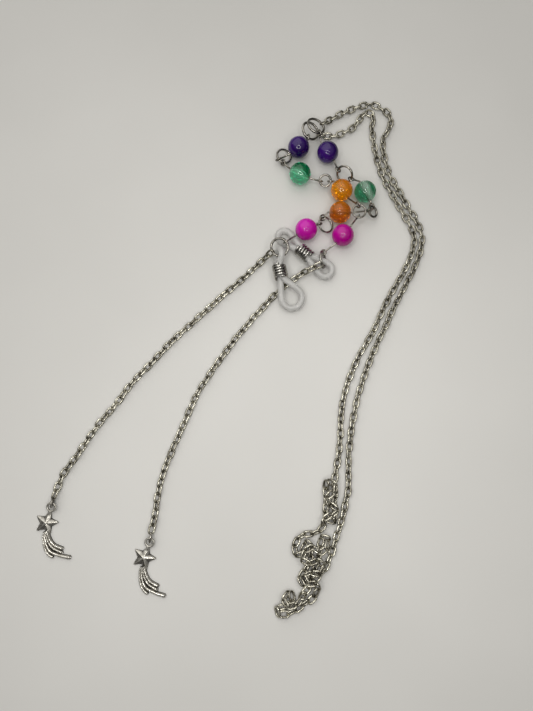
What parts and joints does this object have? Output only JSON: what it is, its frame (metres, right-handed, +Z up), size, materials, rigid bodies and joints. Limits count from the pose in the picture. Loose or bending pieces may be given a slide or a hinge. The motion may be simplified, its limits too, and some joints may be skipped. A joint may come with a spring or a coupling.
{
  "type": "eyeglass retainer chain",
  "caption": "Neck chain for glasses, laid out loose: coloured beads on linked rings, rubber temple loops with wire coils, and star charms on side chains.",
  "frame": {"origin": "on the table, under the middle of the beads, rings and temple loops", "axes": "+Z up from the table; +Y runs away from the temple loops along the bead strands, towards the rings that hold the neck chain; +X to the right seen from above"},
  "size_m": [0.1343, 0.1842, 0.0079],
  "materials": {
    "ring_wire": "bright plated wire",
    "pin_wire": "bright plated wire",
    "coil_wire": "bright wire",
    "chain": "plated links, worn",
    "charm_casting": "cast, antiqued",
    "rubber": "clear, slightly milky",
    "bead_purple_left": "polished, see-through",
    "bead_purple_right": "polished, see-through",
    "bead_green_left": "polished, see-through",
    "bead_green_right": "polished, see-through",
    "bead_amber_left": "polished, see-through",
    "bead_amber_right": "polished, see-through",
    "bead_pink_left": "polished, see-through",
    "bead_pink_right": "polished, see-through"
  },
  "bodies": {
    "root": {"neck_chain_left_run": "chain", "neck_chain_right_run": "chain", "neck_chain_bunch_upper": "chain", "neck_chain_bunch_middle": "chain", "neck_chain_bunch_end": "chain", "neck_chain_bunch_link": "chain"},
    "top_ring_left": {"top_ring_left": "ring_wire"},
    "top_ring_right": {"top_ring_right": "ring_wire"},
    "ring_purple_green_left": {"ring_purple_green_left": "ring_wire"},
    "ring_green_amber_left": {"ring_green_amber_left": "ring_wire"},
    "ring_amber_pink_left": {"ring_amber_pink_left": "ring_wire"},
    "ring_purple_green_right": {"ring_purple_green_right": "ring_wire"},
    "ring_green_amber_right": {"ring_green_amber_right": "ring_wire"},
    "ring_amber_pink_right": {"ring_amber_pink_right": "ring_wire"},
    "end_ring_left": {"end_ring_left": "ring_wire"},
    "end_ring_right": {"end_ring_right": "ring_wire"},
    "pin_purple_left": {"pin_purple_left": "pin_wire"},
    "bead_purple_left": {"bead_purple_left": "bead_purple_left"},
    "pin_green_left": {"pin_green_left": "pin_wire"},
    "bead_green_left": {"bead_green_left": "bead_green_left"},
    "pin_amber_left": {"pin_amber_left": "pin_wire"},
    "bead_amber_left": {"bead_amber_left": "bead_amber_left"},
    "pin_pink_left": {"pin_pink_left": "pin_wire"},
    "bead_pink_left": {"bead_pink_left": "bead_pink_left"},
    "pin_purple_right": {"pin_purple_right": "pin_wire"},
    "bead_purple_right": {"bead_purple_right": "bead_purple_right"},
    "pin_green_right": {"pin_green_right": "pin_wire"},
    "bead_green_right": {"bead_green_right": "bead_green_right"},
    "pin_amber_right": {"pin_amber_right": "pin_wire"},
    "bead_amber_right": {"bead_amber_right": "bead_amber_right"},
    "pin_pink_right": {"pin_pink_right": "pin_wire"},
    "bead_pink_right": {"bead_pink_right": "bead_pink_right"},
    "rubber_loop_left": {"rubber_loop_left": "rubber"},
    "coil_left": {"coil_left": "coil_wire"},
    "charm_chain_left": {"charm_chain_left": "chain"},
    "charm_ring_left": {"charm_ring_left": "ring_wire"},
    "charm_left": {"charm_left": "charm_casting"},
    "rubber_loop_right": {"rubber_loop_right": "rubber"},
    "coil_right": {"coil_right": "coil_wire"},
    "charm_chain_right": {"charm_chain_right": "chain"},
    "charm_ring_right": {"charm_ring_right": "ring_wire"},
    "charm_right": {"charm_right": "charm_casting"}
  },
  "joints": [
    {"name": "flip_top_ring_left", "type": "hinge", "parent": "root", "child": "top_ring_left", "pos_m": [-0.00173, 0.03133, 0.00177], "axis": [-0.7759, -0.4772, 0.4126], "range_deg": [-2, 12]},
    {"name": "flip_top_ring_right", "type": "hinge", "parent": "root", "child": "top_ring_right", "pos_m": [-0.00028, 0.03504, 0.00295], "axis": [-0.2322, -0.9156, 0.3282], "range_deg": [-12, 2]},
    {"name": "flip_ring_purple_green_left", "type": "hinge", "parent": "root", "child": "ring_purple_green_left", "pos_m": [-0.0165, 0.02084, 0.00248], "axis": [0.8138, -0.5, -0.2962], "range_deg": [-12, 0]},
    {"name": "flip_ring_green_amber_left", "type": "hinge", "parent": "root", "child": "ring_green_amber_left", "pos_m": [-0.0015, 0.01157, 0.00367], "axis": [0.9992, -0.0289, -0.0284], "range_deg": [-12, 12]},
    {"name": "flip_ring_amber_pink_left", "type": "hinge", "parent": "root", "child": "ring_amber_pink_left", "pos_m": [0.0118, 0.00104, 0.00602], "axis": [-0.0436, -0.9893, -0.139], "range_deg": [-8, 8]},
    {"name": "flip_ring_purple_green_right", "type": "hinge", "parent": "root", "child": "ring_purple_green_right", "pos_m": [0.0052, 0.01581, 0.004], "axis": [0.7986, -0.6018, 0], "range_deg": [-8, 12]},
    {"name": "flip_ring_green_amber_right", "type": "hinge", "parent": "root", "child": "ring_green_amber_right", "pos_m": [0.01732, 0.00177, 0.0034], "axis": [-0.4987, -0.7934, 0.3492], "range_deg": [-12, 12]},
    {"name": "flip_ring_amber_pink_right", "type": "hinge", "parent": "root", "child": "ring_amber_pink_right", "pos_m": [-0.00057, -0.00226, 0.00251], "axis": [-0.4577, -0.8616, 0.2193], "range_deg": [-12, 6]},
    {"name": "flip_end_ring_left", "type": "hinge", "parent": "root", "child": "end_ring_left", "pos_m": [-0.01401, -0.01231, 0.00476], "axis": [-0.7967, -0.6043, 0.0113], "range_deg": [-12, 0]},
    {"name": "flip_end_ring_right", "type": "hinge", "parent": "root", "child": "end_ring_right", "pos_m": [-0.00059, -0.01567, 0.00285], "axis": [-0.169, -0.9142, 0.3683], "range_deg": [-10, 4]},
    {"name": "swing_pin_purple_left", "type": "hinge", "parent": "root", "child": "pin_purple_left", "pos_m": [-0.00574, 0.02886, 0.00391], "axis": [-0.7971, -0.5945, -0.1058], "range_deg": [-10, 10]},
    {"name": "spin_bead_purple_left", "type": "hinge", "parent": "pin_purple_left", "child": "bead_purple_left", "pos_m": [-0.0091, 0.0248, 0.004], "axis": [-0.766, -0.6428, 0], "continuous": true},
    {"name": "swing_pin_green_left", "type": "hinge", "parent": "root", "child": "pin_green_left", "pos_m": [-0.01485, 0.01983, 0.00188], "axis": [0.845, -0.5225, 0.1134], "range_deg": [-10, 10]},
    {"name": "spin_bead_green_left", "type": "hinge", "parent": "pin_green_left", "child": "bead_green_left", "pos_m": [-0.0087, 0.0143, 0.004], "axis": [0.8639, -0.4988, 0.0698], "continuous": true},
    {"name": "swing_pin_amber_left", "type": "hinge", "parent": "root", "child": "pin_amber_left", "pos_m": [0.00248, 0.01145, 0.00356], "axis": [0.657, -0.7337, 0.1732], "range_deg": [-10, 10]},
    {"name": "spin_bead_amber_left", "type": "hinge", "parent": "pin_amber_left", "child": "bead_amber_left", "pos_m": [0.0064, 0.0078, 0.004], "axis": [0.6018, -0.7986, 0], "continuous": true},
    {"name": "swing_pin_pink_left", "type": "hinge", "parent": "root", "child": "pin_pink_left", "pos_m": [0.0116, -0.0034, 0.00539], "axis": [-0.6975, -0.7017, -0.1451], "range_deg": [-10, 10]},
    {"name": "spin_bead_pink_left", "type": "hinge", "parent": "pin_pink_left", "child": "bead_pink_left", "pos_m": [0.0064, -0.0096, 0.004], "axis": [-0.6428, -0.766, 0], "continuous": true},
    {"name": "swing_pin_purple_right", "type": "hinge", "parent": "root", "child": "pin_purple_right", "pos_m": [-0.00153, 0.03009, 0.00473], "axis": [0.4261, -0.9035, -0.0459], "range_deg": [-10, 10]},
    {"name": "spin_bead_purple_right", "type": "hinge", "parent": "pin_purple_right", "child": "bead_purple_right", "pos_m": [0.0016, 0.0228, 0.004], "axis": [0.5299, -0.848, 0], "continuous": true},
    {"name": "swing_pin_green_right", "type": "hinge", "parent": "root", "child": "pin_green_right", "pos_m": [0.01, 0.01219, 0.004], "axis": [0.574, -0.8175, -0.0471], "range_deg": [-10, 10]},
    {"name": "spin_bead_green_right", "type": "hinge", "parent": "pin_green_right", "child": "bead_green_right", "pos_m": [0.0149, 0.0072, 0.004], "axis": [0.4226, -0.9063, 0], "continuous": true},
    {"name": "swing_pin_amber_right", "type": "hinge", "parent": "root", "child": "pin_amber_right", "pos_m": [0.01597, -0.00037, 0.00434], "axis": [-0.9876, -0.1128, -0.1094], "range_deg": [-10, 10]},
    {"name": "spin_bead_amber_right", "type": "hinge", "parent": "pin_amber_right", "child": "bead_amber_right", "pos_m": [0.0056, -0.0009, 0.004], "axis": [-0.9998, 0.0175, 0], "continuous": true},
    {"name": "swing_pin_pink_right", "type": "hinge", "parent": "root", "child": "pin_pink_right", "pos_m": [-0.00202, -0.005, 0.00321], "axis": [-0.8486, -0.5176, 0.1099], "range_deg": [-10, 10]},
    {"name": "spin_bead_pink_right", "type": "hinge", "parent": "pin_pink_right", "child": "bead_pink_right", "pos_m": [-0.0067, -0.0074, 0.004], "axis": [-0.8572, -0.515, 0], "continuous": true},
    {"name": "lift_rubber_loop_left", "type": "hinge", "parent": "root", "child": "rubber_loop_left", "pos_m": [-0.01713, -0.01733, 0.00411], "axis": [-0.9848, -0.1736, 0], "range_deg": [0, 45]},
    {"name": "turn_rubber_loop_right", "type": "hinge", "parent": "root", "child": "rubber_loop_right", "pos_m": [-0.00086, -0.02136, 0.00295], "axis": [0, 0, 1], "range_deg": [-1.5, 2]},
    {"name": "slide_coil_left", "type": "slide", "parent": "rubber_loop_left", "child": "coil_left", "axis": [0.1673, -0.9686, 0.184], "range_m": [-0.0001, 0.0002]},
    {"name": "slide_coil_right", "type": "slide", "parent": "rubber_loop_right", "child": "coil_right", "axis": [-0.7167, 0.6897, -0.1028], "range_m": [-0.0004, 0.0004]},
    {"name": "lift_charm_chain_left", "type": "hinge", "parent": "root", "child": "charm_chain_left", "pos_m": [-0.01893, -0.01604, 0.00483], "axis": [-0.7493, 0.6622, 0], "range_deg": [0, 40]},
    {"name": "turn_charm_chain_right", "type": "hinge", "parent": "root", "child": "charm_chain_right", "pos_m": [-0.00155, -0.02086, 0.00495], "axis": [0, 0, 1], "range_deg": [-2, 2]},
    {"name": "flip_charm_ring_left", "type": "hinge", "parent": "charm_chain_left", "child": "charm_ring_left", "pos_m": [-0.09169, -0.09991, 0.0019], "axis": [-0.1392, -0.9903, 0], "range_deg": [-15, 15]},
    {"name": "lift_charm_left", "type": "hinge", "parent": "charm_ring_left", "child": "charm_left", "pos_m": [-0.09211, -0.10289, 0.0019], "axis": [-0.9903, 0.1392, 0], "range_deg": [0, 40]},
    {"name": "flip_charm_ring_right", "type": "hinge", "parent": "charm_chain_right", "child": "charm_ring_right", "pos_m": [-0.05839, -0.11051, 0.0019], "axis": [-0.1392, -0.9903, 0], "range_deg": [-15, 15]},
    {"name": "lift_charm_right", "type": "hinge", "parent": "charm_ring_right", "child": "charm_right", "pos_m": [-0.05881, -0.11349, 0.0019], "axis": [-0.9903, 0.1392, 0], "range_deg": [0, 40]}
  ]
}
